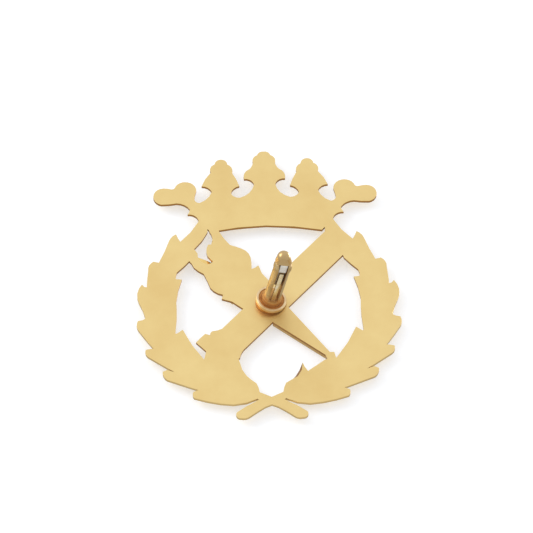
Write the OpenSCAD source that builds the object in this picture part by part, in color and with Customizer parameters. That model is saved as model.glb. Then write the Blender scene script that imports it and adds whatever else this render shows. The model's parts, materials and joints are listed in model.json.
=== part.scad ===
// Cap badge: a crowned laurel wreath over a crossed torch and baton.
// A flat pierced back plate carries the raised front pieces.
// A forked post with a spring-held swivel toggle is soldered behind the crossing.

/* [Plate] */
// Thickness of the pierced back plate, mm
plate_t = 0.4; // [0.4:0.05:0.8]
// How far the raised pieces stand inside the plate's edge, mm
relief_inset = 0.22; // [0.15:0.01:0.3]
// Height of the wreath's leaves above the plate, mm
leaf_h = 0.55; // [0.4:0.05:0.8]
// Height of the torch above the plate, mm
torch_h = 0.6; // [0.4:0.05:0.9]
// Height of the torch's handle, which fills the plate's outline, mm
handle_h = 0.5; // [0.3:0.05:0.6]
// Height of the baton above the plate, mm
baton_h = 0.8; // [0.6:0.05:1]
// Height of the crown above the plate, mm
crown_h = 0.5; // [0.4:0.05:0.8]
// Height of the jewelled band above the crown, mm
circlet_h = 0.3; // [0.2:0.05:0.4]
// Radius of a round jewel on the band, mm
jewel_r = 0.42; // [0.3:0.02:0.5]

/* [Crossing] */
// Angle of the baton above the horizontal, degrees
baton_angle = 48.4; // [46:0.1:50]
// Where the post stands, right of the plate's centre line, mm
seat_x = 0.2; // [0:0.05:0.4]
// Where the post stands, above the wreath's widest line, mm
seat_y = -0.2; // [-0.4:0.05:0]

/* [Post] */
// Sideways lean of the post, degrees
lean = 11.5; // [0:0.5:12]
// Radius of the cup that the post stands in, mm
cup_r = 2.1; // [1.9:0.05:2.3]
// Height of the cup's rim, mm
cup_h = 0.55; // [0.5:0.01:0.6]
// Thickness of the cup's floor, mm
cup_floor = 0.3; // [0.2:0.05:0.4]
// Wall of the cup's rim, mm
cup_wall = 0.35; // [0.25:0.05:0.4]
// Radius of the round collar at the post's foot, mm
collar_r = 1.36; // [1.34:0.01:1.4]
// Radius of the post's foot, below the collar, mm
foot_r = 0.95; // [0.8:0.05:1.1]
// Radius of the fork above the collar, mm
fork_r = 1.17; // [1.1:0.01:1.2]
// Width of the slot between the fork's legs, mm
slot_w = 1.24; // [1.2:0.01:1.3]
// Floor of the slot, measured along the post from its foot, mm
slot_s = 1.6; // [1.5:0.05:1.7]
// Hinge pin, measured along the post from its foot, mm
pin_s = 8.4; // [8:0.1:9]
// Radius of the hinge pin, mm
pin_r = 0.35; // [0.3:0.01:0.4]
// Running clearance between the pin and the toggle's bore, mm
pin_gap = 0.03; // [0.02:0.01:0.08]

/* [Toggle] */
// Radius of the knuckle round the pin, mm
knuckle_r = 1.28; // [1.25:0.01:1.3]
// Radius of the toggle's nose at its underside, mm
nose_r = 1.2; // [1.1:0.01:1.25]
// Radius of the nose's round end, mm
nose_tip_r = 0.93; // [0.8:0.01:1]
// Distance from the pin to the underside of the nose, mm
nose_base = 1.12; // [1.1:0.01:1.2]
// Distance from the pin to the middle of the nose's round end, mm
nose_mid = 2; // [1.8:0.05:2.1]
// Sideways set of the nose, which brings it nearer to upright, degrees
nose_set = 8; // [0:1:8]
// Distance from the pin to the end of the tail, mm
tail_len = 3.7; // [3:0.1:4]
// Thickness of the toggle between the legs, mm
tang_w = 1; // [0.9:0.01:1.05]
// Half width of the square hub across its flats, mm
hub_half = 0.75; // [0.7:0.01:0.8]
// Corner radius of the square hub, mm
hub_corner = 0.3; // [0.25:0.01:0.35]
// Width of the leaf spring, mm
spring_w = 0.56; // [0.4:0.02:0.7]
// Thickness of the leaf spring at its tip, mm
spring_t = 0.28; // [0.2:0.02:0.3]

/* [Hidden] */
$fn = 48;
gilt = [0.89, 0.78, 0.53];
gilt_dark = [0.86, 0.73, 0.47];
tarnish = [0.45, 0.43, 0.36];
silver = [0.75, 0.76, 0.77];
solder_brown = [0.55, 0.35, 0.2];
// Degrees of a round edge that one straight facet spans
arc_step = 18;
// The cup is lifted along the leaning post until its low edge just meets the plate
cup_s = cup_r * tan(lean);
foot_s = cup_s + cup_floor;
// The solder wedge keeps a little inside the cup's edge
solder_set = 0.15;
solder_r = cup_r - solder_set;
solder_fill = 0.14;
collar_s = foot_s + solder_fill;
// Half depth of the legs' rounded ends, front to back
knuckle_trim = 1.05;
// The spring lies against the lower side of the slot, and stops short of the hub's flat
spring_y = -0.95;
spring_root_t = 0.34;
spring_gap = 0.03;
tail_front = -0.45;
// The toggle's flat web runs this far up inside its round nose
nose_lap = 0.2;
// The jewelled band: half width, height of its ends, swell of its middle, depth and jewel spacing
circlet_half = 7;
circlet_low = 12.9;
circlet_bow = 0.75;
circlet_rise = 2.2;
jewel_pitch = 2;
// Longer than anything it cuts
beyond = 60;

// ---- Outlines, drawn as seen from the back, about the plate's centre line ----
// Each row is [x, y, bow]. The bow is how far the edge to the next point
// swells to the left of its direction of travel; 0 is a straight edge.

// Right half of the crown, from the foot of the band up to the middle point
CROWN_HALF = [
    [0, 12.95, 0.2], [7.6, 12.05, 0], [9.15, 13.9, 0.4], [10.65, 15.05, 0.06], [10.3, 15.9, 0.28],
    [12.1, 17, -0.06], [14.2, 16.82, -0.31], [15.25, 18.2, -0.41], [13.85, 19.6, -0.05],
    [12.7, 19.4, 0.05], [12.3, 19.6, -0.3], [10.85, 20.62, -0.45], [9.35, 19.1, 0.03],
    [9.65, 17.8, 0.25], [8.95, 17, 0.28], [7.25, 18.85, 0.27], [8.62, 19.83, -0.15],
    [7.3, 22.15, -0.33], [6.75, 23.55, -0.84], [5, 23.5, -0.3], [4.4, 22.05, -0.08],
    [3.45, 19.76, 0.27], [4.65, 18.55, 0.25], [3.4, 17.8, 0.42], [1.45, 20, 0.33],
    [2.8, 20.95, -0.33], [2.05, 22.6, 0.1], [1.5, 23.7, -0.3], [0.9, 25, -0.22], [0, 25.62, 0]];
// The right branch of the wreath: outer leaves from the foot up, then the inner edge down
LAUREL = [
    [1.8, -16.35, 0], [3.4, -17.05, -0.25], [7, -17.1, -0.08], [10.5, -16.1, -0.15],
    [10.6, -15.05, 0], [9.9, -14.75, 0], [14.1, -12.95, -0.2], [14.68, -11.55, 0],
    [14.05, -11.25, 0], [13.1, -11.65, 0], [16.55, -9.05, -0.2], [16.9, -7.8, 0],
    [16.2, -7.65, 0], [15.8, -7.65, -0.03], [17.8, -4.5, -0.2], [17.85, -2.9, 0],
    [17.2, -2.75, 0], [16.8, -2.5, 0.1], [17.6, 0.1, -0.45], [17.15, 3.3, 0],
    [16.82, 2.85, 0], [16.5, 2.8, -0.02], [16.25, 5.6, -0.25], [15.5, 7.15, 0],
    [14.75, 6.95, 0.07], [13.3, 10.6, -0.15], [12.3, 11.75, 0.05], [11.75, 10.45, 0.2],
    [9.15, 13.9, 0], [8, 13.5, 0], [8, 12, -0.15], [9.9, 9.15, 0], [10.45, 7.3, -0.05],
    [12.35, 5.2, 0.08], [12.5, 4.1, 0], [11.7, 4, 0.12], [12.55, 0.3, -0.03], [12.55, -2.5, 0],
    [12.8, -5.1, 0], [12.6, -5.15, 0], [11.78, -4.5, 0.2], [9, -9.65, 0], [7.4, -10, 0],
    [5.05, -11.85, 0.08], [4.35, -10.4, 0.05], [3.3, -12.5, 0.05], [2, -13.8, -0.06],
    [1.6, -15.3, 0], [1.5, -15.9, 0]];
// The inner leaf of the left branch, which runs on under the baton's end cap
JOINING_LEAF = [[-8.68, -8.2], [-8.97, -9.5], [-9.3, -10.6], [-5, -12.3], [-3.9, -11.3],
    [-4.33, -9.6], [-5, -8.4]];
// The cut stem that crosses below the wreath to the right
STEM = [
    [-1.9, -16.5, 0], [0, -17.38, 0], [0.9, -17.78, 0.03], [3.05, -19.4, -0.15],
    [4.2, -19.65, -0.4], [4.75, -18.6, 0], [3.4, -17.6, 0.03], [1.9, -16.65, 0],
    [0, -16.12, 0], [-1.6, -15.3, 0]];
// The torch: handle, flared bowl, then the flame's three tongues
TORCH = [
    [8.1, -8.72, 0], [2.8, -1.2, 0], [0.05, 3.7, 0.22], [-1.22, 6.2, 0.08], [-2.15, 5.6, -0.05],
    [-2.25, 7.6, -0.22], [-3.4, 9.08, -0.03], [-5, 9.75, 0.08], [-6.4, 12, 0], [-6.6, 12.8, 0],
    [-8, 12.8, 0], [-7.72, 12, 0.27], [-7.55, 9.9, 0], [-8, 9.87, -0.2], [-8.1, 7.85, 0],
    [-7.38, 6.98, 0.1], [-8.1, 6.55, 0.45], [-9.45, 8.4, 0], [-9.9, 9.12, 0], [-11.2, 9.4, 0],
    [-11.4, 8, 0], [-10.75, 7.3, 0.08], [-10, 6, -0.08], [-8.7, 4.9, 0.04], [-7.85, 2.5, -0.22],
    [-6.15, 1.3, 0], [-6.35, 0.6, 0], [-4.95, 0.1, 0], [-3.65, -1, 0], [0.4, -3.42, 0],
    [7.5, -9.2, 0], [7.75, -10.05, 0], [8.95, -9.85, 0], [8.7, -8.72, 0]];
// The baton along its own axis: plain shaft, moulding and end cap
BATON = [
    [15.4, -2.6, 0], [15.4, 1.85, 0], [-7.6, 1.85, 0.08], [-8.8, 2.6, -0.1], [-9.48, 2.4, 0],
    [-9.75, 3.05, -0.04], [-11.68, 3.05, -0.3], [-11.8, -3.1, -0.04], [-9.75, -3.15, 0],
    [-9.4, -2.95, 0.04], [-8.4, -2.68, 0]];
// Outermost point of each main leaf, and where its midrib leaves the branch
LEAVES = [
    [[10.5, -15.7], [4.2, -14.6]], [[14.5, -12], [8.2, -12.6]], [[16.7, -8.2], [10.9, -9.6]],
    [[17.6, -3.4], [13.5, -7.4]], [[17, 3], [14.7, -3]], [[15.4, 6.9], [14.4, 1.2]],
    [[12.4, 11.4], [13.7, 5.4]], [[12, 3.9], [14.2, -0.6]], [[12, -4.7], [13, -9]],
    [[9.3, -9.4], [9.3, -13.6]], [[9.3, 13.2], [12.6, 7]], [[4.4, -10.8], [4.6, -15]]];
// Half width of a leaf's raised lens, as a part of its length
leaf_slim = 0.17;

// Points along the round edge from a to b that swells by h to the left
function bow(a, b, h) =
    let (c = norm(b - a), u = (b - a) / c, w = [-u.y, u.x], r = (c * c / 4 + h * h) / (2 * h),
        half = asin(c / 2 / r), n = max(2, ceil(abs(2 * half) / arc_step)),
        q = (a + b) / 2 + w * (h - r))
    [for (i = [0 : n - 1]) let (s = half * (2 * i / n - 1)) q + r * (u * sin(s) + w * cos(s))];
function flat(row) = [row[0], row[1]];
function edge(a, b) = a[2] == 0 ? [flat(a)] : bow(flat(a), flat(b), a[2]);
function closed(rows) = [for (i = [0 : len(rows) - 1]) each edge(rows[i], rows[(i + 1) % len(rows)])];
function open(rows) = concat([for (i = [0 : len(rows) - 2]) each edge(rows[i], rows[i + 1])],
    [flat(rows[len(rows) - 1])]);
function both_sides(half) = concat(half, [for (i = [len(half) - 2 : -1 : 1]) [-half[i].x, half[i].y]]);

module about_seat() translate([-seat_x, -seat_y]) children();
module crown_shape() about_seat() polygon(both_sides(open(CROWN_HALF)));
module branch_shape(side) about_seat() mirror([side < 0 ? 1 : 0, 0]) polygon(closed(LAUREL));
module joining_leaf_shape() about_seat() polygon(JOINING_LEAF);
// Each branch's stem crosses over to the other side
module stem_shape(side) about_seat() mirror([side > 0 ? 1 : 0, 0]) polygon(closed(STEM));
module torch_shape() about_seat() polygon(closed(TORCH));
module baton_shape() about_seat() rotate(baton_angle) polygon(closed(BATON));
module laurel_shape(side) {
    branch_shape(side);
    stem_shape(side);
    if (side < 0) joining_leaf_shape();
}
// The pointed lens between two leaf points
module lens(tip, root) {
    length = norm(tip - root);
    half = length * leaf_slim;
    r = (length * length / 4 + half * half) / (2 * half);
    turn = atan2(tip.y - root.y, tip.x - root.x);
    translate((tip + root) / 2) rotate(turn) intersection() {
        translate([0, half - r]) circle(r, $fn = 96);
        translate([0, r - half]) circle(r, $fn = 96);
    }
}

// ---- Placing ----
// The badge is drawn lying on its face: x to the right and y up as seen from the back,
// z out of the back. It is worn upright, with the back to +Y and the crown to +Z.
module worn() rotate([90, 0, 180]) children();
module raised(from, height) translate([0, 0, -plate_t - from - height]) linear_extrude(height) children();
module stepped(height) {
    raised(0, height / 2) offset(delta = -relief_inset) children();
    raised(height / 2, height / 2) offset(delta = -2 * relief_inset) children();
}
module along_post(s) rotate([0, lean, 0]) translate([0, 0, s]) children();

// ---- Plate and raised front ----
module slab() translate([0, 0, -plate_t]) linear_extrude(plate_t) children();
module back_plate() color(gilt) worn() {
    slab() crown_shape();
    for (side = [-1, 1]) {
        slab() branch_shape(side);
        slab() stem_shape(side);
    }
    slab() joining_leaf_shape();
    slab() torch_shape();
    slab() baton_shape();
}

module crown_relief() color(gilt_dark) worn() stepped(crown_h) crown_shape();

// The band follows the curved foot of the crown
module circlet_shape() about_seat() {
    foot = open([[-circlet_half, circlet_low, circlet_bow], [circlet_half, circlet_low, 0]]);
    head = [for (i = [len(foot) - 1 : -1 : 0]) foot[i] + [0, circlet_rise]];
    polygon(concat(foot, head));
}
module crown_circlet() color(gilt_dark) worn() {
    raised(crown_h, circlet_h) circlet_shape();
    intersection() {
        for (i = [-3 : 3]) {
            x = i * jewel_pitch;
            y = circlet_low + circlet_bow * (1 - pow(x / circlet_half, 2)) + circlet_rise / 2;
            translate([x - seat_x, y - seat_y, -plate_t - crown_h - circlet_h]) sphere(jewel_r);
        }
        translate([-beyond / 2, -beyond / 2, -plate_t - crown_h - beyond]) cube(beyond);
    }
}

module laurel(side) color(gilt) worn() {
    raised(0, leaf_h / 2) offset(delta = -relief_inset) difference() {
        laurel_shape(side);
        crown_shape();
        torch_shape();
        baton_shape();
        if (side > 0) stem_shape(-1);
    }
    raised(leaf_h / 2, leaf_h / 2) intersection() {
        about_seat() mirror([side < 0 ? 1 : 0, 0]) for (leaf = LEAVES) lens(leaf[0], leaf[1]);
        offset(delta = -2 * relief_inset) difference() {
            branch_shape(side);
            crown_shape();
            torch_shape();
            baton_shape();
        }
    }
}
module laurel_left() laurel(-1);
module laurel_right() laurel(1);

// The baton lies over the torch, so the torch's raised part stops at each side of it
module torch() color(gilt) worn() {
    stepped(torch_h) difference() {
        torch_shape();
        crown_shape();
        baton_shape();
    }
    raised(0, handle_h) difference() {
        torch_shape();
        baton_shape();
        translate([-beyond, 0]) square(2 * beyond);
        translate([-beyond, -beyond]) square(beyond);
    }
}
module baton() color(gilt) worn() stepped(baton_h) difference() {
    baton_shape();
    crown_shape();
}

// ---- Post fitting ----
// Solder fills the wedge under the leaning cup and lies round the post's foot inside it
module solder() color(solder_brown) worn() {
    intersection() {
        along_post(-cup_s) cylinder(r = solder_r, h = 2 * cup_s);
        translate([-beyond / 2, -beyond / 2, 0]) cube(beyond);
    }
    along_post(foot_s) difference() {
        cylinder(r = cup_r - cup_wall, h = solder_fill);
        translate([0, 0, -solder_fill]) cylinder(r = foot_r, h = 3 * solder_fill);
    }
}
module base_cup() color(gilt_dark) worn() along_post(cup_s) difference() {
    cylinder(r = cup_r, h = cup_h);
    translate([0, 0, cup_floor]) cylinder(r = cup_r - cup_wall, h = cup_h);
}
module across(r, length) rotate([0, 90, 0]) cylinder(r = r, h = length, center = true);
module post_fork() color(tarnish) worn() difference() {
    union() {
        along_post(foot_s) cylinder(r = foot_r, h = solder_fill);
        along_post(collar_s) cylinder(r = collar_r, h = slot_s - collar_s);
        along_post(slot_s) cylinder(r = fork_r, h = pin_s - slot_s);
        along_post(pin_s) intersection() {
            sphere(knuckle_r);
            union() {
                across(knuckle_trim, 3 * knuckle_r);
                translate([-2 * knuckle_r, -knuckle_trim, -knuckle_r])
                    cube([4 * knuckle_r, 2 * knuckle_trim, knuckle_r]);
            }
        }
    }
    along_post(slot_s) translate([-slot_w / 2, -beyond / 2, 0]) cube([slot_w, beyond, beyond]);
    along_post(pin_s) across(pin_r, 3 * knuckle_r);
}
module hinge_pin() color(silver) worn() along_post(pin_s) intersection() {
    across(pin_r, 3 * knuckle_r);
    sphere(knuckle_r);
}
module leaf_spring() color(silver) worn() along_post(0) {
    tip_s = pin_s - hub_half - spring_gap;
    translate([spring_w / 2, 0, 0]) rotate([90, 0, -90]) linear_extrude(spring_w)
        polygon([[-spring_y, slot_s], [-spring_y, tip_s], [-spring_y - spring_t, tip_s],
            [-spring_y - spring_root_t, slot_s]]);
}
module hub_shape() {
    core = hub_half - hub_corner;
    square([2 * hub_half, 2 * core], center = true);
    square([2 * core, 2 * hub_half], center = true);
    for (x = [-core, core], y = [-core, core]) translate([x, y]) circle(hub_corner);
}
module toggle() color(silver) worn() along_post(pin_s) difference() {
    union() {
        rotate([90, 0, 90]) linear_extrude(tang_w, center = true) {
            hub_shape();
            translate([tail_front, -tail_len]) square([hub_half - tail_front, tail_len]);
            translate([-hub_half, 0]) square([2 * hub_half, nose_base + nose_lap]);
        }
        // The bullet nose has flats at front and back, in line with the hub's
        intersection() {
            rotate([0, -nose_set, 0]) {
                translate([0, 0, nose_base - nose_lap])
                    cylinder(r1 = nose_r, r2 = nose_tip_r, h = nose_mid - nose_base + nose_lap);
                translate([0, 0, nose_mid]) sphere(nose_tip_r);
            }
            translate([-2 * nose_r, -hub_half, nose_base]) cube([4 * nose_r, 2 * hub_half, 4 * nose_r]);
        }
    }
    across(pin_r + pin_gap, 2 * tang_w);
}

back_plate();
crown_relief();
crown_circlet();
laurel_left();
laurel_right();
torch();
baton();
solder();
base_cup();
post_fork();
leaf_spring();
toggle();
hinge_pin();
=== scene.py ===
# %% [markdown]
# # A gilt cap badge, seen from behind
#
# The CAD model of the badge is loaded as a fixed frame: a pierced plate, raised pieces on its
# front, and a leaning post with a swivel toggle behind it. This lesson gives each piece its
# real surface. The plate gets broken edges and fired gilding, the front gets domed leaves,
# beads and flutes, and the post gets worn metal. All lengths are in metres, so a millimetre
# is kept as a named value.

import json
import math

import bmesh
import bpy
from mathutils import Matrix, Vector


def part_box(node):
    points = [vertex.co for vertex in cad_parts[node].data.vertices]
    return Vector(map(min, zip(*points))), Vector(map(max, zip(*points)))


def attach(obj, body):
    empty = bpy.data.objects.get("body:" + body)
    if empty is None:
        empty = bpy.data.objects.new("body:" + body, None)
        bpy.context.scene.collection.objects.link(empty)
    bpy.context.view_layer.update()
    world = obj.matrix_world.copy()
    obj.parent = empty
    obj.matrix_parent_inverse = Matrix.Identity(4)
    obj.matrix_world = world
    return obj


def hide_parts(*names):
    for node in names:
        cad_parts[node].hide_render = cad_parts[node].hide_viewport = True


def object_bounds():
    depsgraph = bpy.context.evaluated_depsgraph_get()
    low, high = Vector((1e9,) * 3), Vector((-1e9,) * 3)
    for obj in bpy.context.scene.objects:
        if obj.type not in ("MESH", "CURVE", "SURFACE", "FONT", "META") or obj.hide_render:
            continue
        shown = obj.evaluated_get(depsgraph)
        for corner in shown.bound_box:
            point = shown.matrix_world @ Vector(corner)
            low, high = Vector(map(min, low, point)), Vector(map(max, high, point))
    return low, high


MM = 0.001
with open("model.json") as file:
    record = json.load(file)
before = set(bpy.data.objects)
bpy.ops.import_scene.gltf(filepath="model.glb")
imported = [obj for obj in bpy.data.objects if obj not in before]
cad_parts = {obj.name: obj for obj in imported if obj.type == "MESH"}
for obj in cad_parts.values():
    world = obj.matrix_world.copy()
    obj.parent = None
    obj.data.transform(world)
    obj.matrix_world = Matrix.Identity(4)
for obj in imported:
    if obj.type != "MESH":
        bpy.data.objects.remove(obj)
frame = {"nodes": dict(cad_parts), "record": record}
cad_low, cad_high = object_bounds()
print("CAD box, mm:", [round(v / MM, 2) for v in (*cad_low, *cad_high)])

# %% [markdown]
# ## The camera
#
# The badge is worn upright, so its flat back faces +Y. The camera looks at that back from
# below, 53 degrees above the plate's own plane. A long lens far away keeps parallel edges
# parallel. The view is built from three directions: across the view, up the view and towards
# the camera. A small turn in the plate's plane and a small roll set the badge slightly off
# square. The shot is about twice as wide as the badge.

# %% Place the camera
view_rise = math.asin(0.8)
plate_turn = math.radians(1.93)
view_roll = math.radians(-0.49)
view_width = 72.49 * MM
camera_distance = 3000 * MM
# Where the post's foot sits from the middle of the view, as parts of the view's width
foot_right = 0.0067
foot_down = 0.0679

across = Vector((-math.cos(plate_turn), 0, -math.sin(plate_turn)))
towards = Vector(
    (
        math.cos(view_rise) * math.sin(plate_turn),
        math.sin(view_rise),
        -math.cos(view_rise) * math.cos(plate_turn),
    )
)
upwards = towards.cross(across)
roll = Matrix.Rotation(-view_roll, 3, towards)
across, upwards = roll @ across, roll @ upwards

lens_data = bpy.data.cameras.new("camera")
lens_data.sensor_width = 36
lens_data.lens = lens_data.sensor_width * camera_distance / view_width
camera = bpy.data.objects.new("camera", lens_data)
aim = (foot_down * upwards - foot_right * across) * view_width
camera.matrix_world = Matrix.Translation(aim + towards * camera_distance) @ Matrix(
    (across, upwards, towards)
).transposed().to_4x4()
bpy.context.scene.collection.objects.link(camera)
bpy.context.scene.camera = camera
bpy.context.scene.view_settings.view_transform = "Standard"
print("Lens, mm:", round(lens_data.lens), "camera at", tuple(round(v, 3) for v in camera.location))

# %% [markdown]
# ## Helpers for pieces
#
# A CAD node's mesh is loose triangles, so a piece that starts from one starts from a merged
# copy. Every finished piece goes through one function that names it, makes it ride on its
# body, hides the CAD node that it stands for and gives it its finish. Broad flat
# faces are shaded flat and narrow broken edges are shaded smooth, so that a flat plate keeps
# one even sheen.


# %% Start and finish a piece
def merged_copy(node):
    """A bmesh of a CAD node with its doubled points merged and its flat faces made whole."""
    shell = bmesh.new()
    shell.from_mesh(frame["nodes"][node].data)
    bmesh.ops.remove_doubles(shell, verts=shell.verts, dist=0.002 * MM)
    bmesh.ops.dissolve_limit(
        shell, angle_limit=math.radians(1), verts=shell.verts, edges=shell.edges
    )
    return shell


def make_piece(shell, name, material, body="badge", stands_for=(), sharp=35, flat_corners=8):
    """Turn a bmesh into a finished object that rides on its body."""
    bmesh.ops.recalc_face_normals(shell, faces=shell.faces)
    mesh = bpy.data.meshes.new(name)
    shell.to_mesh(mesh)
    shell.free()
    # Marking the sharp edges makes every face smooth, so the flat faces are set after it
    mesh.set_sharp_from_angle(angle=math.radians(sharp))
    for face in mesh.polygons:
        face.use_smooth = len(face.vertices) <= flat_corners and abs(face.normal.y) < 0.9999
    piece = bpy.data.objects.new(name, mesh)
    bpy.context.scene.collection.objects.link(piece)
    mesh.materials.append(material)
    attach(piece, body)
    if stands_for:
        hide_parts(*stands_for)
    print(name, "faces:", len(mesh.polygons), "size, mm:", [round(v / MM, 2) for v in piece.dimensions])
    return piece


def break_edges(shell, width, angle=25, segments=2):
    """Bevel every edge that turns more than an angle, as a file breaks a sharp edge."""
    turned = [
        e for e in shell.edges
        if len(e.link_faces) == 2 and e.calc_face_angle() > math.radians(angle)
    ]
    bmesh.ops.bevel(
        shell, geom=turned, offset=width, offset_type="OFFSET", segments=segments,
        profile=0.5, affect="EDGES", clamp_overlap=True, material=-1,
    )


# %% [markdown]
# ## Finishes
#
# Silver-gilt is a thin gold layer over silver. At the back it isn't mirror smooth: it has a
# fired, satin surface with soft clouds, fine wiping scratches and brown walls where the saw
# went through. That brown is partly the metal's own colour and partly painted shade, and the
# outer walls are painted lighter, as painted light. The recesses get a matt colour that is
# partly old polish and partly painted shade. A shader node group holds the clouds, scratches
# and pits that all these metals share, and a second group finds the plate's walls by the way they face.


# %% Node helpers
def new_group(name, inputs, outputs):
    """A shader node group whose inputs and outputs are plain values."""
    group = bpy.data.node_groups.new(name, "ShaderNodeTree")
    for label, start in inputs.items():
        made = group.interface.new_socket(name=label, in_out="INPUT", socket_type="NodeSocketFloat")
        made.default_value = start
    for label in outputs:
        group.interface.new_socket(name=label, in_out="OUTPUT", socket_type="NodeSocketFloat")
    return group, group.nodes.new("NodeGroupInput"), group.nodes.new("NodeGroupOutput")


def feed(tree, socket, value):
    """Link a socket to another, or set its value."""
    if isinstance(value, bpy.types.NodeSocket):
        tree.links.new(value, socket)
    else:
        socket.default_value = value


def add_node(tree, kind, given=None, **settings):
    """Add a node, set its properties and feed its inputs."""
    made = tree.nodes.new(kind)
    for label, value in settings.items():
        setattr(made, label, value)
    for label, value in (given or {}).items():
        feed(tree, made.inputs[label], value)
    return made


def maths(tree, operation, a, b=0.0, clamp=False):
    """One Math node, and its result."""
    made = add_node(tree, "ShaderNodeMath", {0: a, 1: b}, operation=operation, use_clamp=clamp)
    return made.outputs[0]


def remap(tree, value, low, high, to_low=0.0, to_high=1.0):
    """Stretch a value between two limits, clamped."""
    limits = {"Value": value, "From Min": low, "From Max": high, "To Min": to_low, "To Max": to_high}
    return add_node(tree, "ShaderNodeMapRange", limits).outputs["Result"]


def blend_colours(tree, amount, a, b):
    """Mix two colours by an amount."""
    return add_node(tree, "ShaderNodeMix", {0: amount, 6: a, 7: b}, data_type="RGBA").outputs[2]


# %% Clouds, scratches and pits that every metal here shares
def fine_lines(group, place, turn, stretch, scale):
    """Thin lines in one direction, as a cloth leaves."""
    drawn = add_node(
        group, "ShaderNodeMapping", {"Vector": place, "Rotation": turn, "Scale": (stretch, 1, 1)}
    ).outputs["Vector"]
    noise = add_node(
        group, "ShaderNodeTexNoise", {"Vector": drawn, "Scale": scale / MM, "Detail": 2.0}
    ).outputs["Fac"]
    return remap(group, noise, 0.62, 0.8)


def build_wear_group():
    """Clouds, pits and fine scratches from Object coordinates."""
    group, given, result = new_group(
        "worn_metal", {"Cloud size": 3.0, "Scratch": 0.5, "Pits": 0.5}, ["Clouds", "Scratches", "Height"]
    )
    place = add_node(group, "ShaderNodeTexCoord").outputs["Object"]
    per_mm = maths(group, "DIVIDE", 1 / MM, given.outputs["Cloud size"])
    clouds = add_node(
        group, "ShaderNodeTexNoise",
        {"Vector": place, "Scale": per_mm, "Detail": 5.0, "Roughness": 0.6},
    ).outputs["Fac"]
    first = fine_lines(group, place, (0.3, 0.5, 0.9), 0.08, 5)
    second = fine_lines(group, place, (0.1, 2.1, 0.2), 0.06, 4)
    deepest = maths(group, "MAXIMUM", first, second)
    scratches = maths(group, "MULTIPLY", deepest, given.outputs["Scratch"])
    grains = add_node(
        group, "ShaderNodeTexNoise", {"Vector": place, "Scale": 6 / MM, "Detail": 3.0}
    ).outputs["Fac"]
    pits = maths(group, "MULTIPLY", remap(group, grains, 0.4, 0.25), given.outputs["Pits"])
    height = maths(
        group, "SUBTRACT", maths(group, "MULTIPLY", grains, 0.5), maths(group, "ADD", pits, scratches)
    )
    for label, value in (("Clouds", clouds), ("Scratches", scratches), ("Height", height)):
        group.links.new(value, result.inputs[label])
    return group


wear_group = build_wear_group()


# %% The plate's walls by the way they face, for a brown that is partly painted shade
# Between these radii, below the crown's foot and over the fade, the outer walls get less wall brown:
# painted light, as these walls are lit brighter
rim_inner, rim_outer, rim_painted_light = 14.5 * MM, 16.5 * MM, 0.75
crown_foot, crown_fade = 11 * MM, 2 * MM
# How squarely a face looks out of the plate before it counts as flat, and as a wall
facing_flat, facing_wall = 0.93, 0.7


def build_wall_group():
    """1 on walls that stand square to the plate, 0 on its flat faces, less on the wreath's outer walls,
    as painted light.
    """
    group, _, result = new_group("sawn_wall_and_shade", {}, ["Wall"])
    where = add_node(group, "ShaderNodeTexCoord")
    out = add_node(group, "ShaderNodeSeparateXYZ", {"Vector": where.outputs["Normal"]}).outputs["Y"]
    wall = remap(group, maths(group, "ABSOLUTE", out), facing_flat, facing_wall)
    spread = add_node(group, "ShaderNodeVectorMath", {0: where.outputs["Object"]}, operation="LENGTH")
    height = add_node(group, "ShaderNodeSeparateXYZ", {"Vector": where.outputs["Object"]}).outputs["Z"]
    rim = remap(group, spread.outputs["Value"], rim_inner, rim_outer)
    lower = remap(group, height, crown_foot, crown_foot - crown_fade)
    rim_painted_lit = maths(group, "MULTIPLY", maths(group, "MULTIPLY", rim, lower), rim_painted_light)
    group.links.new(maths(group, "SUBTRACT", wall, rim_painted_lit, clamp=True), result.inputs["Wall"])
    return group


wall_group = build_wall_group()


# %% One maker for the metals
# How much of the metal a full recess colour hides, and how much it dulls what is left; the recess colour
# is partly dirt and partly painted shade
shade_and_dirt_cover, shade_and_dirt_dulls = 0.7, 0.2
# Where in the clouds the colour changes, where the gloss changes, and how far the gloss moves
cloud_low, cloud_high, gloss_from, gloss_to = 0.35, 0.68, 0.3, 0.7
gloss_down, gloss_up, shelter_samples = 0.04, 0.06, 6


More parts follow.
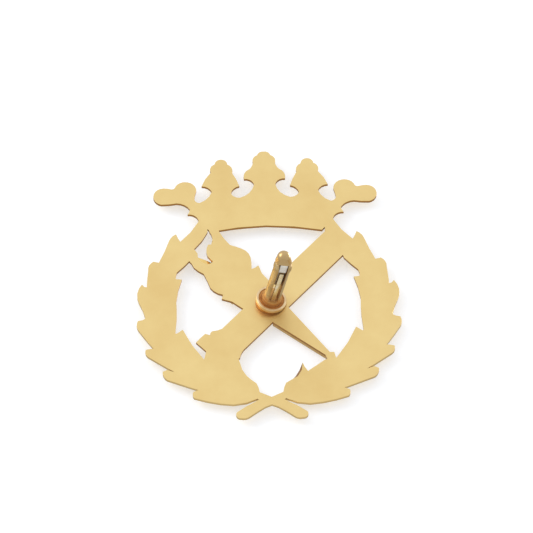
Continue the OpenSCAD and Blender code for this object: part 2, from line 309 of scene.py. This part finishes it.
def metal(name, light, dark, wall, recess, rough, cloud_size=3.0, scratch=0.4, pits=0.4,
          bump=0.012, reach=0.5, recess_limits=(0.9, 0.3)):
    """A worn metal: clouds of two colours, a wall colour that is partly painted shade, a matt recess
    colour that is partly dirt and partly painted shade, its own gloss.
    """
    material = bpy.data.materials.new(name)
    material.use_nodes = True
    tree = material.node_tree
    shader = tree.nodes["Principled BSDF"]
    wear = add_node(tree, "ShaderNodeGroup", node_tree=wear_group)
    for label, value in (("Cloud size", cloud_size), ("Scratch", scratch), ("Pits", pits)):
        wear.inputs[label].default_value = value
    clouds = remap(tree, wear.outputs["Clouds"], cloud_low, cloud_high)
    colour = blend_colours(tree, clouds, (*light, 1), (*dark, 1))
    # Walls take the wall colour, which is partly the metal's own colour and partly painted shade
    if wall:
        walls = add_node(tree, "ShaderNodeGroup", node_tree=wall_group).outputs["Wall"]
        colour = blend_colours(tree, walls, colour, (*wall, 1))
    # Ambient occlusion brings in the recess colour: painted shade in recesses and joints, partly also
    # old dirt and polish
    shelter = add_node(
        tree, "ShaderNodeAmbientOcclusion", {"Distance": reach * MM}, samples=shelter_samples
    )
    shade_and_dirt = remap(tree, shelter.outputs["AO"], *recess_limits)
    colour = blend_colours(tree, shade_and_dirt, colour, (*recess, 1))
    tree.links.new(colour, shader.inputs["Base Color"])
    tree.links.new(maths(tree, "SUBTRACT", 1.0, maths(tree, "MULTIPLY", shade_and_dirt, shade_and_dirt_cover)),
                   shader.inputs["Metallic"])
    gloss = remap(
        tree, wear.outputs["Clouds"], gloss_from, gloss_to, rough - gloss_down, rough + gloss_up
    )
    gloss = maths(tree, "ADD", gloss, maths(tree, "MULTIPLY", shade_and_dirt, shade_and_dirt_dulls), clamp=True)
    tree.links.new(gloss, shader.inputs["Roughness"])
    relief = add_node(
        tree, "ShaderNodeBump",
        {"Strength": 0.5, "Distance": bump * MM, "Height": wear.outputs["Height"]},
    )
    tree.links.new(relief.outputs["Normal"], shader.inputs["Normal"])
    return material


# The walls' brown is partly the sawn metal's own colour and partly painted shade
sawn_brown_and_shade = (0.42, 0.20, 0.05)
gilt_back = metal(
    "gilt_back", (0.86, 0.655, 0.29), (0.79, 0.575, 0.24), sawn_brown_and_shade, (0.3, 0.12, 0.03), 0.36, 9.0,
    reach=0.3, recess_limits=(0.62, 0.15),
)
gilt_front = metal(
    "gilt_front", (0.86, 0.60, 0.22), (0.76, 0.49, 0.15), None, (0.16, 0.075, 0.02), 0.24, 2.0
)
burnished_gilt = metal(
    "burnished_gilt", (0.92, 0.68, 0.27), (0.82, 0.56, 0.19), None, (0.2, 0.1, 0.03), 0.15, 2.0, 0.3, 0.1
)
torch_gilt = metal(
    "torch_gilt", (0.72, 0.46, 0.16), (0.55, 0.31, 0.09), None, (0.14, 0.06, 0.018), 0.28, 2.0
)
old_gilt = metal(
    "old_gilt", (0.60, 0.45, 0.23), (0.42, 0.28, 0.11), None, (0.42, 0.19, 0.05), 0.44, 1.2, 0.6, 0.8,
    reach=1.0, recess_limits=(0.85, 0.35),
)
cup_gilt = metal(
    "cup_gilt", (0.84, 0.66, 0.40), (0.74, 0.53, 0.28), None, (0.30, 0.12, 0.03), 0.46, 1.2, reach=0.3,
    recess_limits=(0.7, 0.2),
)
pale_gilt = metal(
    "pale_gilt", (0.90, 0.82, 0.60), (0.74, 0.60, 0.34), None, (0.42, 0.26, 0.09), 0.25, 0.8, 0.6
)
bright_metal = metal(
    "bright_metal", (0.90, 0.89, 0.86), (0.72, 0.68, 0.6), None, (0.34, 0.22, 0.1), 0.3, 1.0, 0.6
)
fired_solder = metal(
    "fired_solder", (0.72, 0.36, 0.11), (0.48, 0.19, 0.045), None, (0.22, 0.07, 0.015), 0.45, 0.7
)
print("Finishes:", sorted(m.name for m in bpy.data.materials))

# %% [markdown]
# ## Stains and worn patches that sit at a place
#
# The solderer's flame left a faint orange bloom on the plate round the post and coloured the
# post's foot. The toggle is bright only on its hub, where the spring rubs it. All three are
# masks that measure a distance in the piece's own coordinates, so they move with the piece.


# %% Bloom, nose tarnish and solder colour
def tint(material, amount, colour):
    """Mix one more colour over a finished metal."""
    tree = material.node_tree
    base = tree.nodes["Principled BSDF"].inputs["Base Color"]
    under = base.links[0].from_socket
    tree.links.new(blend_colours(tree, amount(tree), under, (*colour, 1)), base)


bloom_inner, bloom_outer, bloom_strength = 2.0 * MM, 3.9 * MM, 0.2


def bloom(tree):
    """Strongest at the cup and gone a little way out."""
    place = add_node(tree, "ShaderNodeTexCoord").outputs["Object"]
    flat = add_node(
        tree, "ShaderNodeVectorMath", {0: place, 1: (1, 0, 1)}, operation="MULTIPLY"
    ).outputs["Vector"]
    out = add_node(tree, "ShaderNodeVectorMath", {0: flat}, operation="LENGTH").outputs["Value"]
    return remap(tree, out, bloom_inner, bloom_outer, bloom_strength, 0.0)


tint(gilt_back, bloom, (0.62, 0.34, 0.12))

pin = frame["record"]["behaviour"]["joints"][0]
pin_place, pin_axis = Vector(pin["pos_m"]), Vector(pin["axis"])
post_axis = pin_place.normalized()
# The nose starts this far beyond the pin, and its colour comes in over the fade
hub_top, nose_fade = 1.0 * MM, 0.1 * MM
foot_low, foot_high, foot_strength = 1.3 * MM, 2.6 * MM, 0.9


def along_post(tree):
    """How far along the post a point is."""
    place = add_node(tree, "ShaderNodeTexCoord").outputs["Object"]
    return add_node(
        tree, "ShaderNodeVectorMath", {0: place, 1: tuple(post_axis)}, operation="DOT_PRODUCT"
    ).outputs["Value"]


def nose(tree):
    """0 on the hub and tail, 1 on the nose beyond the hub's top."""
    edge = pin_place.length + hub_top
    return remap(tree, along_post(tree), edge, edge + nose_fade)


tint(bright_metal, nose, (0.56, 0.39, 0.18))


def foot(tree):
    """Strongest at the post's foot, where the solder ran, and 0 a little way up."""
    return remap(tree, along_post(tree), foot_low, foot_high, foot_strength, 0.0)


tint(old_gilt, foot, (0.70, 0.36, 0.11))
print("Post axis:", [round(v, 3) for v in post_axis], "pin, mm:", round(pin_place.length / MM, 2))

# %% [markdown]
# ## The back plate
#
# The real plate is struck and pierced, so its edges are crisp but never razor sharp: a file
# and a polishing mop break them. The CAD outline is right, so the piece is a merged copy of
# it with a narrow bevel on each edge. One inner leaf at the foot of the wreath has been
# dressed with a file, which leaves a dark slope down one side.

# %% Dress one leaf tip and break the plate's edges
edge_break = 0.05 * MM
dressed_depth = 0.45 * MM
leaf_tip, leaf_heel = Vector((-4.15, 0, -10.2)) * MM, Vector((-2.2, 0, -13.2)) * MM
heel_to_tip = leaf_tip - leaf_heel
into_leaf = Vector((-0.84, 0, -0.54))

plate = merged_copy("back_plate")
for point in plate.verts:
    along = (point.co - leaf_heel).dot(heel_to_tip) / heel_to_tip.length_squared
    off = (point.co - leaf_heel - along * heel_to_tip).length
    if 0.05 < along < 0.95 and off < 0.5 * MM and point.co.y > -0.01 * MM:
        point.co += into_leaf * dressed_depth * math.sin(math.pi * along)
break_edges(plate, edge_break)
make_piece(plate, "pierced_plate", gilt_back, stands_for=["back_plate"], sharp=40)

# %% [markdown]
# ## The raised front
#
# Every raised piece starts as a merged copy of its CAD shape with softened edges, as a struck
# part has. The detail then stands on it: leaves with ribs and veins, beads, mouldings and
# reeds. It is laid out on the flat, with x to the right and y up as seen from the back, and
# one matrix turns that layout into the badge's own frame. Heights are counted from the plate's
# front face.

# %% From the flat layout to the badge
seat_x, seat_y = 0.2, -0.2
plate_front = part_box("back_plate")[0][1]
to_badge = Matrix(
    (
        (-MM, 0, 0, seat_x * MM),
        (0, 0, -MM, plate_front),
        (0, MM, 0, -seat_y * MM),
        (0, 0, 0, 1),
    )
)
print("Plate front at y, mm:", round(plate_front / MM, 2))


# %% Soften the struck bodies
def struck_body(node, name, finish, soft=0.1):
    """The CAD shape of a raised piece with soft edges."""
    shell = merged_copy(node)
    break_edges(shell, soft * MM, angle=30, segments=3)
    return make_piece(shell, name, finish, stands_for=[node], sharp=60)


struck_body("crown_relief", "crown_body", gilt_front)
struck_body("laurel_left", "laurel_bed_left", gilt_front)
struck_body("laurel_right", "laurel_bed_right", gilt_front)
struck_body("torch", "torch_body", torch_gilt, 0.08)
struck_body("baton", "baton_body", gilt_front, 0.12)

# %% [markdown]
# ## Leaves
#
# A laurel leaf on a badge is a low dome with a raised midrib and slanting veins. A grid makes
# it: each grid point knows how far along the leaf it is and how far to the side, and that sets
# its width, height and vein. The sheet is then extruded down into the bed, which closes it.
# The same maker, bent sideways, gives the crown's foliage and the torch's flames.


# %% The leaf maker
# Heights as parts of the crest: the dome, the midrib and the veins. The skirt is how far the
# leaf goes down into its bed.
dome_share, rib_share, rib_width, vein_share, vein_slant, leaf_skirt = 0.8, 0.16, 0.16, 0.09, 0.22, 0.08


def add_leaf(shell, root, tip, half_width, base, crest, bend=0.0, veins=6, steps=16):
    """One domed leaf from root to tip, in the flat layout, in millimetres."""
    sheet = bmesh.ops.create_grid(shell, x_segments=steps, y_segments=8, size=0.5)["verts"]
    root, tip = Vector((*root, 0)), Vector((*tip, 0))
    run = tip - root
    side = Vector((-run.y, run.x, 0)).normalized()
    for point in sheet:
        t, s = point.co.x + 0.5, 2 * point.co.y
        swell = math.sin(math.pi * min(max(t, 0.0), 1.0) ** 0.8) ** 0.8 if 0 < t < 1 else 0.0
        rib = rib_share * math.exp(-((s / rib_width) ** 2))
        wave = math.sin(2 * math.pi * veins * (t - vein_slant * abs(s)))
        vein = vein_share * wave * abs(s) * (1 - abs(s) ** 4)
        dome = (1 - s * s) ** 0.6 if abs(s) < 1 else 0.0
        height = base + crest * swell * (dome_share * dome + rib + vein)
        place = root + run * t + side * (s * half_width * swell + bend * math.sin(math.pi * t))
        point.co = (place.x, place.y, height)
    faces = list({f for p in sheet for f in p.link_faces})
    grown = bmesh.ops.extrude_face_region(shell, geom=faces)["geom"]
    for point in (g for g in grown if isinstance(g, bmesh.types.BMVert)):
        point.co.z = base - leaf_skirt
    bmesh.ops.remove_doubles(shell, verts=shell.verts, dist=0.001)


def finish_detail(shell, name, material, sharp=50):
    """Turn a detail from the flat layout into the badge's frame and finish it."""
    bmesh.ops.transform(shell, matrix=to_badge, verts=shell.verts)
    return make_piece(shell, name, material, sharp=sharp, flat_corners=40)


# %% The wreath's leaves
# Each pair is the outer point of a leaf and the point where it leaves the branch
OUTER_LEAVES = [
    ((10.2, -15.8), (4.4, -14.7)), ((14.2, -12.1), (8.2, -12.6)), ((16.4, -8.3), (10.9, -9.8)),
    ((17.3, -3.6), (13.7, -7.4)), ((16.9, 2.7), (14.9, -3)), ((15.3, 6.5), (14.7, 1.2)),
    ((12.3, 10.9), (13.3, 5.4)), ((12.5, 3.5), (14.9, -0.8)), ((12.3, -4.9), (13.1, -9)),
    ((9.1, -9.9), (9.3, -13.4)), ((9.4, 12.5), (11.9, 7.6)), ((4.35, -11), (4.6, -15)),
]
# Points along the middle of the branch, from the cut stem to the tip under the crown
BRANCH = [
    (1.9, -15.9), (4.6, -15.1), (8.2, -13.4), (11.2, -10.6), (13.6, -7.4), (14.8, -3), (14.6, 1.2),
    (13.6, 5.4), (12, 9),
]
outer_slim, inner_slim = 0.19, 0.2
bed_top, outer_crest, inner_crest, inner_base = 0.25, 0.36, 0.36, 0.42


def build_wreath(side):
    """Outer leaves first, then the row of leaves that lies over them along the branch."""
    shell = bmesh.new()
    for tip, root in OUTER_LEAVES:
        half = outer_slim * math.dist(tip, root)
        add_leaf(shell, root, tip, half, bed_top, outer_crest)
    for first, last in zip(BRANCH, BRANCH[1:]):
        tip = [b + 0.3 * (b - a) for a, b in zip(first, last)]
        add_leaf(shell, first, tip, inner_slim * math.dist(tip, first), inner_base, inner_crest)
    if side < 0:
        bmesh.ops.scale(shell, vec=(-1, 1, 1), verts=shell.verts)
    return shell


finish_detail(build_wreath(1), "laurel_leaves_right", gilt_front)
finish_detail(build_wreath(-1), "laurel_leaves_left", gilt_front)

# %% [markdown]
# ## Beads, berries and mouldings
#
# Small round details are flattened balls, half sunk into the piece below. A moulding is a
# rounded bar across a shape, and a reed is a long tapered half-round.


# %% Makers for round details
def add_bead(shell, x, y, height, radius, flatten=0.7, detail=2):
    """A low ball at a place in the flat layout."""
    spot = Matrix.Translation((x, y, height)) @ Matrix.Diagonal((1, 1, flatten, 1))
    bmesh.ops.create_icosphere(shell, subdivisions=detail, radius=radius, matrix=spot)


def add_reed(shell, start, end, start_half, end_half, height, flatten=0.5, sides=16):
    """A tapered half-round from start to end, with rounded ends."""
    start, end = Vector((*start, 0)), Vector((*end, 0))
    run = end - start
    turn = run.to_track_quat("Z", "Y").to_matrix().to_4x4()
    spot = (
        Matrix.Translation((0, 0, height)) @ Matrix.Diagonal((1, 1, flatten, 1))
        @ Matrix.Translation((start + end) / 2) @ turn
    )
    made = bmesh.ops.create_cone(
        shell, cap_ends=True, segments=sides, radius1=start_half, radius2=end_half,
        depth=run.length, matrix=spot,
    )["verts"]
    rims = list({e for p in made for e in p.link_edges if e.calc_face_angle(0) > math.radians(60)})
    bmesh.ops.bevel(
        shell, geom=rims, offset=0.35 * min(start_half, end_half), segments=3, profile=0.5,
        affect="EDGES", clamp_overlap=True, material=-1,
    )


# %% Berries in the wreath
BERRIES = [
    (5.9, -13.9), (9.4, -11.4), (12.0, -8.9), (13.9, -5.3), (13.9, -1.2), (13.7, 3.0), (12.3, 7.3),
]
berry_height, berry_radius = 0.55, 0.36
berries = bmesh.new()
for side in (-1, 1):
    for x, y in BERRIES:
        add_bead(berries, side * x, y, berry_height, berry_radius)
finish_detail(berries, "laurel_berries", burnished_gilt)

# %% [markdown]
# ## The jewelled band and the crown's foliage
#
# The band has a beaded border above and below, and seven cut stones in gilt: ovals and
# lozenges in turn, each in a low setting. Above it, each point of the crown carries small
# leaves that fan out from a stalk, with a pearl at the fork. They all stay well inside the
# plate's edge, so that none of them shows from behind.

# %% Beaded borders and stones
band_half, band_low, band_bow, band_rise = 7.0, 12.9, 0.75, 2.2
crown_front = (plate_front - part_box("crown_relief")[0][1]) / MM
band_front = crown_front + 0.3
bead_radius, bead_pitch, bead_end, bead_margin = 0.17, 0.36, 0.3, 0.24
stone_pitch = 2.0


def band_line(x):
    """Height of the band's lower edge at a distance from the middle."""
    return band_low + band_bow * (1 - (x / band_half) ** 2)


band_shell = merged_copy("crown_circlet")
break_edges(band_shell, 0.06 * MM, angle=30)
make_piece(band_shell, "band_body", gilt_front, stands_for=["crown_circlet"], sharp=50)

beads = bmesh.new()
count = int(2 * (band_half - bead_end) / bead_pitch)
for i in range(count + 1):
    x = -band_half + bead_end + i * 2 * (band_half - bead_end) / count
    for lift in (bead_margin, band_rise - bead_margin):
        add_bead(beads, x, band_line(x) + lift, band_front, bead_radius, 0.8, 1)
finish_detail(beads, "band_beads", burnished_gilt)

stones = bmesh.new()
for i in range(-3, 4):
    x = stone_pitch * i
    spot = Matrix.Translation((x, band_line(x) + band_rise / 2, band_front))
    if i % 2:
        bmesh.ops.create_cone(
            stones, cap_ends=True, segments=4, radius1=0.66, radius2=0.2, depth=0.36, matrix=spot
        )
    else:
        low = spot @ Matrix.Diagonal((1.25, 0.9, 1, 1))
        bmesh.ops.create_cone(
            stones, cap_ends=True, segments=24, radius1=0.62, radius2=0.5, depth=0.2, matrix=low
        )
        bmesh.ops.create_uvsphere(
            stones, u_segments=24, v_segments=12, radius=0.42,
            matrix=spot @ Matrix.Diagonal((1.2, 0.85, 0.9, 1)),
        )
finish_detail(stones, "band_stones", burnished_gilt, sharp=30)

# %% Foliage on the crown's points
# Each row is a leaf's root, its tip and its half width, on the right half of the crown
CROWN_LEAVES = [
    ((0, 18.6), (0, 24.3), 0.9), ((0.1, 21.1), (1.95, 22.6), 0.42),
    ((5.95, 17.9), (5.9, 22.9), 0.75), ((6.1, 20.2), (7.6, 21.4), 0.36),
    ((5.8, 20.2), (4.2, 21.4), 0.36), ((10.3, 18.2), (14.3, 18.5), 0.4),
    ((10.5, 18.3), (10.9, 20.1), 0.45), ((10, 17.5), (9.7, 15.1), 0.35),
]
# Each row is a pearl's place and its radius
CROWN_PEARLS = [
    ((0, 20.7), 0.42), ((5.95, 19.8), 0.38), ((10.4, 17.9), 0.36), ((2.9, 16.6), 0.4),
    ((8.3, 15.9), 0.4),
]
leaf_sunk, foliage_crest = 0.04, 0.34
foliage = bmesh.new()
pearls = bmesh.new()
for side in (-1, 1):
    for root, tip, half in CROWN_LEAVES:
        if side > 0 or root[0] > 0:
            root, tip = (side * root[0], root[1]), (side * tip[0], tip[1])
            base = crown_front - leaf_sunk
            add_leaf(foliage, root, tip, half, base, foliage_crest, veins=4, steps=12)
    for (x, y), radius in CROWN_PEARLS:
        if side > 0 or x > 0:
            add_bead(pearls, side * x, y, crown_front + 0.5 * leaf_sunk, radius)
finish_detail(foliage, "crown_foliage", gilt_front)
finish_detail(pearls, "crown_pearls", burnished_gilt)

# %% [markdown]
# ## The torch
#
# The torch is a tapered, reeded handle with a moulded bowl. The flame is a fan of bent leaves
# without veins, which taper to points and overlap as tongues of fire do.

# %% Flames, mouldings and reeds
torch_front = (plate_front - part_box("torch")[0][1]) / MM
FLAMES = [
    ((-4.6, 3.8), (-7.1, 12.0), 1.15, 0.7), ((-5.6, 3.2), (-10.8, 8.7), 1.0, -0.5),
    ((-3.3, 4.5), (-3.3, 8.8), 0.85, 0.3), ((-5.0, 3.6), (-8.6, 6.9), 0.7, 0.2),
    ((-4.2, 4.3), (-5.4, 9.3), 0.7, -0.3),
]
flame_crest, flame_sunk, flame_step = 0.42, 0.1, 0.05
flames = bmesh.new()
for i, (root, tip, half, bend) in enumerate(FLAMES):
    base = torch_front - flame_sunk + flame_step * (i > 2)
    add_leaf(flames, root, tip, half, base, flame_crest, bend, veins=0, steps=20)
finish_detail(flames, "torch_flames", burnished_gilt)

MOULDINGS = [
    ((-1.75, 5.35), (-6.1, 1.55), 0.34), ((-0.65, 4.15), (-5.05, 0.55), 0.24),
    ((-0.05, 3.2), (-3.7, -0.35), 0.3),
]
mouldings = bmesh.new()
for start, end, half in MOULDINGS:
    add_reed(mouldings, start, end, half, half, torch_front, 0.7)
finish_detail(mouldings, "torch_mouldings", burnished_gilt)

reeds = bmesh.new()
handle_top, handle_tip, handle_side = (1.75, -1.95), (7.7, -8.7), (0.75, 0.66)
for top_offset, tip_offset in ((-1.05, -0.22), (0.0, 0.0), (1.05, 0.22)):
    start = [place + way * top_offset for place, way in zip(handle_top, handle_side)]
    end = [place + way * tip_offset for place, way in zip(handle_tip, handle_side)]
    add_reed(reeds, start, end, 0.42, 0.14, torch_front - 0.02, 0.75)
finish_detail(reeds, "torch_reeds", torch_gilt)

# %% [markdown]
# ## The baton
#
# The baton is a plain shaft with a raised border along each edge, a row of studs between them
# and a moulded cap. It is laid out along its own axis and then turned.

# %% Borders, studs and cap rings
baton_turn = math.radians(48.4)
baton_front = (plate_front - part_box("baton")[0][1]) / MM
shaft_half, shaft_top, shaft_foot = 1.35, 11.5, -8.2


def baton_place(along, side):
    """A point on the baton, from its distance along the axis and to the side."""
    return (
        along * math.cos(baton_turn) - side * math.sin(baton_turn),
        along * math.sin(baton_turn) + side * math.cos(baton_turn),
    )


borders = bmesh.new()
for side in (-shaft_half - 0.35, shaft_half - 0.1):
    add_reed(
        borders, baton_place(shaft_foot, side), baton_place(shaft_top, side), 0.2, 0.2, baton_front, 0.8
    )
for along in (-8.6, -9.4, -10.3, -11.1):
    add_reed(
        borders, baton_place(along, -2.3), baton_place(along, 2.25), 0.26, 0.26, baton_front, 0.7
    )
finish_detail(borders, "baton_mouldings", burnished_gilt)

studs = bmesh.new()
stud_pitch, stud_count = 1.75, 11
for i in range(stud_count):
    x, y = baton_place(-7.1 + i * stud_pitch, -0.22)
    spot = (
        Matrix.Translation((x, y, baton_front + 0.06)) @ Matrix.Rotation(baton_turn, 4, "Z")
        @ Matrix.Diagonal((1.15, 0.85, 1, 1))
    )
    bmesh.ops.create_cone(
        studs, cap_ends=True, segments=4, radius1=0.78, radius2=0.22, depth=0.3, matrix=spot
    )
finish_detail(studs, "baton_studs", gilt_front, sharp=30)

# %% [markdown]
# ## The post fitting
#
# The fork, cup, spring, toggle and pin are turned and filed parts. Their CAD shapes are
# right, so each piece is a merged copy with filed edges and its own worn metal.

# %% Dress the fitting
fitting = {
    "cup": ("base_cup", cup_gilt, "post_gilt", "badge", 0.06),
    "fork": ("post_fork", old_gilt, "post_gilt", "badge", 0.04),
    "spring": ("leaf_spring", pale_gilt, "bright_steel", "badge", 0.03),
    "swivel_toggle": ("toggle", bright_metal, "bright_steel", "toggle", 0.04),
    "rivet": ("hinge_pin", old_gilt, "bright_steel", "badge", 0.03),
    "fillet": ("solder", fired_solder, "solder", "badge", 0.02),
}
for name, (node, finish, slot, body, filed) in fitting.items():
    shell = merged_copy(node)
    break_edges(shell, filed * MM, angle=40)
    make_piece(shell, name, finish, body, [node], sharp=35)

# %% [markdown]
# ## The stage
#
# The badge needs a pale ground close in front of its face, as if it lay face down, and a pale
# floor below it for the views from the side. The ground is seen only from the badge's back,
# and it stops no light, so that the front stays lit. It glows a little, as a light table does,
# which keeps the shadows on it soft. The light is a pale sky that darkens below and in front,
# with one large softbox behind the badge and one in front.


# %% Ground and floor
def one_sided(name, colour, glow):
    """A matt white that is clear when seen from its other side."""
    material = bpy.data.materials.new(name)
    material.use_nodes = True
    tree = material.node_tree
    shader = tree.nodes["Principled BSDF"]
    shader.inputs["Base Color"].default_value = (*colour, 1)
    shader.inputs["Roughness"].default_value = 0.9
    shader.inputs["Specular IOR Level"].default_value = 0.0
    shader.inputs["Emission Color"].default_value = (1, 1, 1, 1)
    shader.inputs["Emission Strength"].default_value = glow
    clear = add_node(tree, "ShaderNodeBsdfTransparent")
    behind = add_node(tree, "ShaderNodeNewGeometry").outputs["Backfacing"]
    mix = add_node(tree, "ShaderNodeMixShader", {0: behind, 1: shader.outputs[0], 2: clear.outputs[0]})
    tree.links.new(mix.outputs[0], tree.nodes["Material Output"].inputs["Surface"])
    return material


def stage_sheet(name, turn, centre, colour, glow, half_size=4.0):
    """A flat square of stage that casts and bounces nothing."""
    sheet = bmesh.new()
    bmesh.ops.create_grid(sheet, x_segments=1, y_segments=1, size=half_size)
    bmesh.ops.transform(sheet, matrix=Matrix.Translation(centre) @ turn, verts=sheet.verts)
    mesh = bpy.data.meshes.new(name)
    sheet.to_mesh(mesh)
    sheet.free()
    made = bpy.data.objects.new(name, mesh)
    mesh.materials.append(one_sided(name, colour, glow))
    made.visible_diffuse = made.visible_glossy = False
    made.visible_transmission = made.visible_shadow = False
    bpy.context.scene.collection.objects.link(made)


upright = Matrix.Rotation(math.radians(-90), 4, "X")
floor_drop = 25 * MM
stage_sheet("ground", upright, Vector((0, cad_low.y, 0)), (0.60, 0.615, 0.64), 0.5)
stage_sheet("floor", Matrix.Identity(4), Vector((0, 0, cad_low.z - floor_drop)), (0.5, 0.5, 0.5), 0.45)


# %% Sky and softboxes
# Heights and directions between which the sky changes, on a ball one unit in radius
sky_low, sky_high, front_full, front_none, floor_none, floor_full = -0.7, 0.6, -1.0, 0.1, -0.55, -0.2


def build_sky(above, below, front):
    """A pale sky that darkens smoothly from above to below, and in front above the floor."""
    world = bpy.data.worlds.new("studio")
    bpy.context.scene.world = world
    world.use_nodes = True
    tree = world.node_tree
    tree.nodes["Background"].inputs["Color"].default_value = (0.97, 0.98, 1, 1)
    way = add_node(tree, "ShaderNodeTexCoord").outputs["Generated"]
    parts = add_node(tree, "ShaderNodeSeparateXYZ", {"Vector": way}).outputs
    shade = remap(tree, parts["Z"], sky_low, sky_high, below, above)
    in_front = remap(tree, parts["Y"], front_full, front_none, front, 0.0)
    dim = maths(tree, "MULTIPLY", in_front, remap(tree, parts["Z"], floor_none, floor_full))
    shade = maths(tree, "MULTIPLY", shade, maths(tree, "SUBTRACT", 1.0, dim))
    feed(tree, tree.nodes["Background"].inputs["Strength"], shade)


def softbox(name, direction, distance, size, power):
    """A square lamp that faces the badge from a direction."""
    lamp_data = bpy.data.lights.new(name, "AREA")
    lamp_data.shape = "SQUARE"
    lamp_data.size = size
    lamp_data.energy = power
    lamp = bpy.data.objects.new(name, lamp_data)
    place = Vector(direction).normalized() * distance
    lamp.matrix_world = Matrix.Translation(place) @ place.to_track_quat("Z", "Y").to_matrix().to_4x4()
    bpy.context.scene.collection.objects.link(lamp)


build_sky(1.01, 0.8, 0.38)
softbox("back_key", (0.95, 0.75, 0.35), 500 * MM, 300 * MM, 0.8)
softbox("front_key", (-0.7, -0.42, 0.65), 500 * MM, 220 * MM, 1.6)
